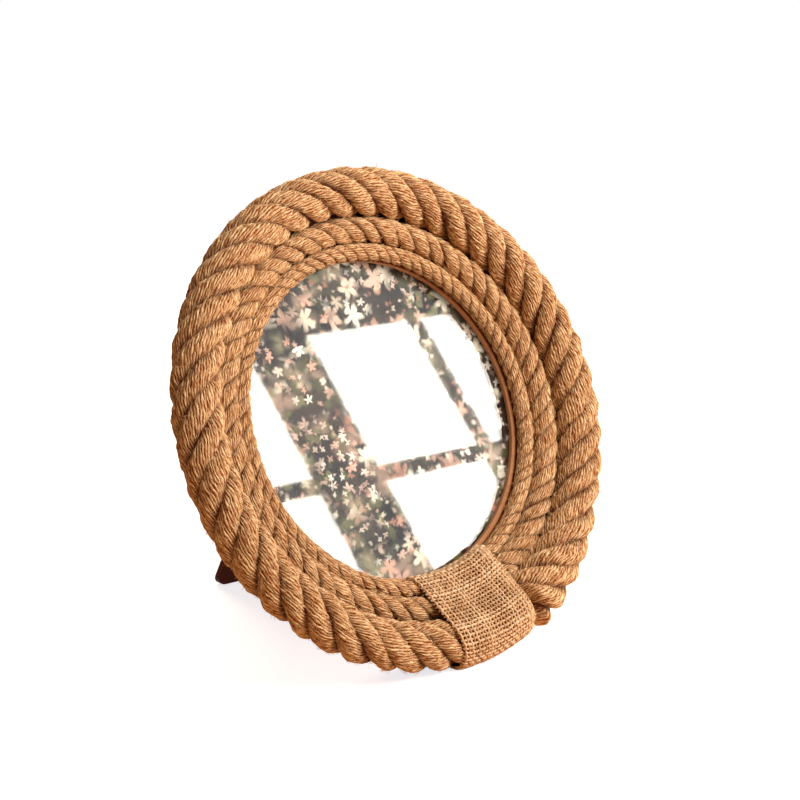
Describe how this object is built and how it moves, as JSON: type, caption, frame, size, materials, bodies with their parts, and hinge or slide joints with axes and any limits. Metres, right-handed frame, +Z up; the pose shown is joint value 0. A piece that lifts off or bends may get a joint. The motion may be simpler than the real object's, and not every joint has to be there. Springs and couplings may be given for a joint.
{
  "type": "round photo frame",
  "caption": "Round tabletop photo frame: laid jute ropes glued on a ring round a glazed picture, a burlap wrap over the rope ends, and a folding easel leg behind.",
  "frame": {"origin": "bottom centre of the bounding box of the open frame, on the table", "axes": "+Z up, the picture faces -Y and leans back 23 degrees, +X to the viewer's right across the frame's diameter"},
  "size_m": [0.2, 0.1508, 0.186],
  "materials": {
    "jute_rope": "laid jute rope, matt, with loose fibres",
    "burlap": "open plain-weave jute burlap",
    "ring_fibreboard": "fibreboard, cut and sealed",
    "pane_glass": "clear float glass",
    "print_paper": "resin-coated photo print, semi-gloss",
    "grey_card": "grey pulp card",
    "back_hardboard": "hardboard, dark stained",
    "stained_leg": "fibreboard, dark brown stain",
    "hinge_brass": "brass-plated pressed steel",
    "zinc_steel": "zinc-plated steel"
  },
  "bodies": {
    "frame": {"base_ring": "ring_fibreboard", "rope_outer": "jute_rope", "rope_middle": "jute_rope", "rope_inner": "jute_rope", "burlap_wrap": "burlap", "glass_pane": "pane_glass", "photo_print": "print_paper", "backing_card": "grey_card", "back_board": "back_hardboard", "turn_button_screws": "zinc_steel", "hinge_board_leaf": "hinge_brass", "hinge_pin": "zinc_steel", "hinge_board_rivets": "hinge_brass"},
    "leg": {"easel_leg": "stained_leg", "hinge_leg_leaf": "hinge_brass", "hinge_leg_rivets": "hinge_brass"},
    "button_1": {"turn_button_1": "zinc_steel"},
    "button_2": {"turn_button_2": "zinc_steel"},
    "button_3": {"turn_button_3": "zinc_steel"},
    "button_4": {"turn_button_4": "zinc_steel"}
  },
  "joints": [
    {"name": "leg_fold", "type": "hinge", "parent": "frame", "child": "leg", "pos_m": [0, 0.00526, 0.12716], "axis": [-1, 0, 0], "range_deg": [0, 50]},
    {"name": "button_1_turn", "type": "hinge", "parent": "frame", "child": "button_1", "pos_m": [0.05373, 0.00701, 0.1359], "axis": [0, -0.9205, 0.3907], "continuous": true},
    {"name": "button_2_turn", "type": "hinge", "parent": "frame", "child": "button_2", "pos_m": [-0.05373, 0.00701, 0.1359], "axis": [0, -0.9205, 0.3907], "continuous": true},
    {"name": "button_3_turn", "type": "hinge", "parent": "frame", "child": "button_3", "pos_m": [-0.05373, -0.03498, 0.03698], "axis": [0, -0.9205, 0.3907], "continuous": true},
    {"name": "button_4_turn", "type": "hinge", "parent": "frame", "child": "button_4", "pos_m": [0.05373, -0.03498, 0.03698], "axis": [0, -0.9205, 0.3907], "continuous": true}
  ]
}
